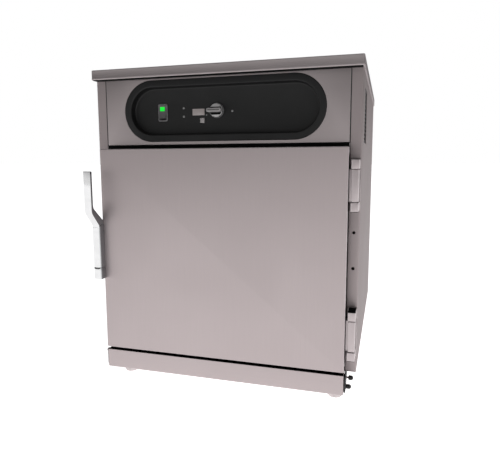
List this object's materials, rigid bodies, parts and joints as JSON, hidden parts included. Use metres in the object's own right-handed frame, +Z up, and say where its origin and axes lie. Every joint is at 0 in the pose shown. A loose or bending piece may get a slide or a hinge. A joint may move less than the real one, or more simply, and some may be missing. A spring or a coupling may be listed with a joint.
{
  "type": "food holding cabinet",
  "caption": "Under-counter insulated food holding cabinet with a side-hinged door, lever latch, recessed control panel, drip trough, pan racks and a circulation fan.",
  "frame": {"origin": "middle of the footprint on the floor, below the cabinet, between the front of the latch lever and the end of the cable gland", "axes": "+Z up, -Y out of the door, +X to the right when facing the door"},
  "size_m": [0.692, 0.88, 0.828],
  "materials": {
    "steel": "satin",
    "steel_inner": "satin",
    "charcoal": "matte",
    "black": "matte",
    "rubber": "matte",
    "chrome": "polished",
    "grey": "satin",
    "green": "gloss",
    "screen": "gloss",
    "wool": "matte",
    "heater": "satin",
    "cast": "satin"
  },
  "bodies": {
    "cabinet": {"base_plate": "steel", "side_panel_left": "steel", "side_panel_right": "steel", "back_panel": "steel", "top_cap": "steel", "control_fascia": "steel", "front_frame": "steel_inner", "bay_floor": "steel_inner", "liner_shell": "steel_inner", "liner_floor": "steel_inner", "liner_back": "steel_inner", "rack_left": "steel_inner", "rack_right": "steel_inner", "fan_guard": "steel_inner", "control_recess": "charcoal", "vent_grille": "black", "cable_gland": "black", "rocker_bezel": "black", "control_box": "black", "trough_bracket_left": "black", "trough_bracket_right": "black", "shelf_lower": "chrome", "shelf_upper": "chrome", "hinge_upper_pin": "chrome", "hinge_lower_pin": "chrome", "latch_strike": "chrome", "display_window": "screen", "indicator_lamp_upper": "screen", "indicator_lamp_lower": "screen", "insulation_blanket": "wool", "heating_element": "heater", "fan_motor": "cast", "foot_front_left": "cast", "foot_front_right": "cast", "foot_rear_left": "cast", "foot_rear_right": "cast", "hinge_upper_frame_leaf": "cast", "hinge_lower_frame_leaf": "cast"},
    "door": {"door_skin": "steel", "door_edge_frame": "black", "door_inner_panel": "steel_inner", "door_insulation": "wool", "door_gasket": "rubber", "hinge_upper_door_leaf": "cast", "hinge_lower_door_leaf": "cast", "latch_housing": "chrome", "latch_end_cap": "chrome", "latch_pin": "chrome"},
    "latch_lever": {"latch_lever": "chrome"},
    "latch_magnet": {"latch_magnet": "black"},
    "rocker": {"power_rocker": "grey", "rocker_lens": "green"},
    "set_button": {"set_button": "grey"},
    "thermostat_knob": {"thermostat_knob": "grey"},
    "drip_trough": {"drip_trough": "steel"},
    "trough_knob_left_upper": {"trough_knob_left_upper": "black"},
    "trough_knob_left_lower": {"trough_knob_left_lower": "black"},
    "trough_knob_right_upper": {"trough_knob_right_upper": "black"},
    "trough_knob_right_lower": {"trough_knob_right_lower": "black"},
    "fan": {"fan_impeller": "steel_inner"}
  },
  "joints": [
    {"name": "door_swing", "type": "hinge", "parent": "cabinet", "child": "door", "pos_m": [0.332, -0.38, 0.36025], "axis": [0, 0, 1], "range_deg": [0, 180]},
    {"name": "latch_lever_pull", "type": "hinge", "parent": "door", "child": "latch_lever", "pos_m": [-0.324, -0.395, 0.412], "axis": [1, 0, 0], "range_deg": [0, 25], "stiffness_Nm_per_rad": 0.4, "springref_deg": -28.65},
    {"name": "latch_magnet_draw", "type": "slide", "parent": "door", "child": "latch_magnet", "axis": [0, -1, 0], "range_m": [0, 0.004]},
    {"name": "power_rocker_tilt", "type": "hinge", "parent": "cabinet", "child": "rocker", "pos_m": [-0.1638, -0.323, 0.719], "axis": [1, 0, 0], "range_deg": [0, 16]},
    {"name": "set_button_press", "type": "slide", "parent": "cabinet", "child": "set_button", "axis": [0, 1, 0], "range_m": [0, 0.002], "stiffness_N_per_m": 200, "springref_m": -0.001},
    {"name": "thermostat_turn", "type": "hinge", "parent": "cabinet", "child": "thermostat_knob", "pos_m": [-0.015, -0.34, 0.72], "axis": [0, 1, 0], "range_deg": [-60, 210]},
    {"name": "trough_slide", "type": "slide", "parent": "cabinet", "child": "drip_trough", "axis": [0, -1, 0], "range_m": [0, 0.06]},
    {"name": "fan_spin", "type": "hinge", "parent": "cabinet", "child": "fan", "pos_m": [0, 0.34, 0.45], "axis": [0, 1, 0], "continuous": true},
    {"name": "trough_knob_left_upper_turn", "type": "hinge", "parent": "cabinet", "child": "trough_knob_left_upper", "pos_m": [-0.3262, -0.358, 0.072], "axis": [-1, 0, 0], "continuous": true},
    {"name": "trough_knob_left_lower_turn", "type": "hinge", "parent": "cabinet", "child": "trough_knob_left_lower", "pos_m": [-0.3217, -0.358, 0.049], "axis": [-1, 0, 0], "continuous": true},
    {"name": "trough_knob_right_upper_turn", "type": "hinge", "parent": "cabinet", "child": "trough_knob_right_upper", "pos_m": [0.3262, -0.358, 0.072], "axis": [1, 0, 0], "continuous": true},
    {"name": "trough_knob_right_lower_turn", "type": "hinge", "parent": "cabinet", "child": "trough_knob_right_lower", "pos_m": [0.3217, -0.358, 0.049], "axis": [1, 0, 0], "continuous": true}
  ],
  "couplings": [
    {"joint": "latch_magnet_draw", "follows": "latch_lever_pull", "m_per_rad": 0.00916}
  ]
}
